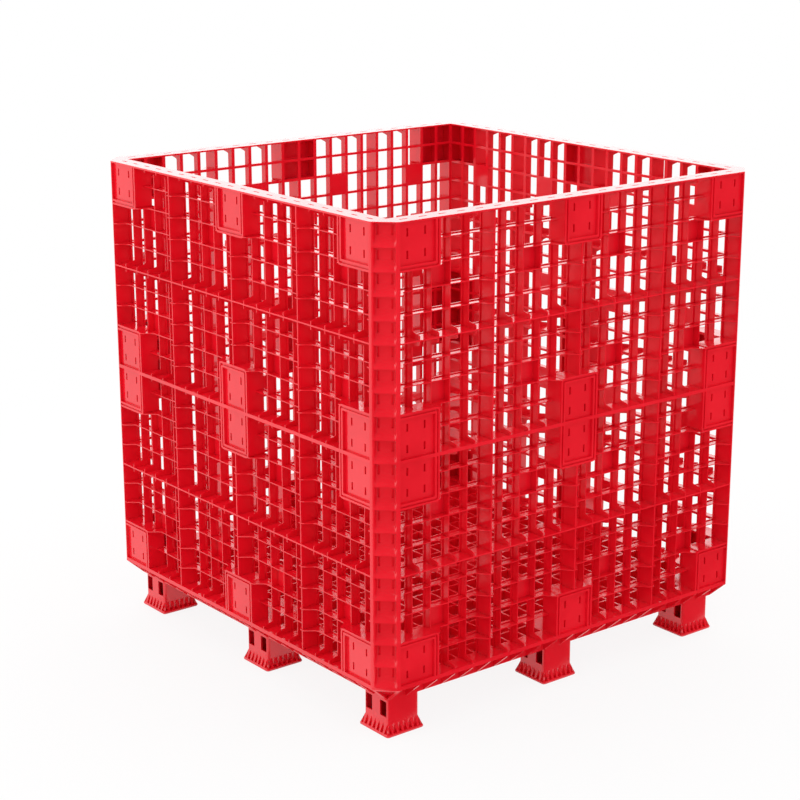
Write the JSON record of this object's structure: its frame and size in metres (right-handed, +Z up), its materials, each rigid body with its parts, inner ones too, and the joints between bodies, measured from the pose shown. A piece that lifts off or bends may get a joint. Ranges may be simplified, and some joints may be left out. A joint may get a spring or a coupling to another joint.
{
  "type": "pallet box",
  "caption": "Square open-topped pallet box: stacked tiers of ribbed lattice wall on an open-floored deck with flared feet that forks pass between, for harvested crops and bulk goods.",
  "frame": {"origin": "on the ground, under the middle of the deck", "axes": "+Z up, +X to the right along the front side, +Y from the front side to the back"},
  "size_m": [1.1, 1.1, 1.14],
  "materials": {
    "red_plastic": "semi-gloss injection-moulded polyethylene"
  },
  "bodies": {
    "lower_box": {"base_deck": "red_plastic", "foot_front_left": "red_plastic", "foot_front_centre": "red_plastic", "foot_front_right": "red_plastic", "foot_middle_left": "red_plastic", "foot_middle_centre": "red_plastic", "foot_middle_right": "red_plastic", "foot_back_left": "red_plastic", "foot_back_centre": "red_plastic", "foot_back_right": "red_plastic", "lower_panel_front": "red_plastic", "lower_panel_right": "red_plastic", "lower_panel_back": "red_plastic", "lower_panel_left": "red_plastic", "lower_post_back_right": "red_plastic", "lower_post_back_left": "red_plastic", "lower_post_front_left": "red_plastic", "lower_post_front_right": "red_plastic"},
    "upper_tier": {"upper_panel_front": "red_plastic", "upper_panel_right": "red_plastic", "upper_panel_back": "red_plastic", "upper_panel_left": "red_plastic", "upper_post_back_right": "red_plastic", "upper_post_back_left": "red_plastic", "upper_post_front_left": "red_plastic", "upper_post_front_right": "red_plastic"}
  },
  "joints": [
    {"name": "upper_tier_lift", "type": "slide", "parent": "lower_box", "child": "upper_tier", "axis": [0, 0, 1], "range_m": [0, 0.51]}
  ]
}
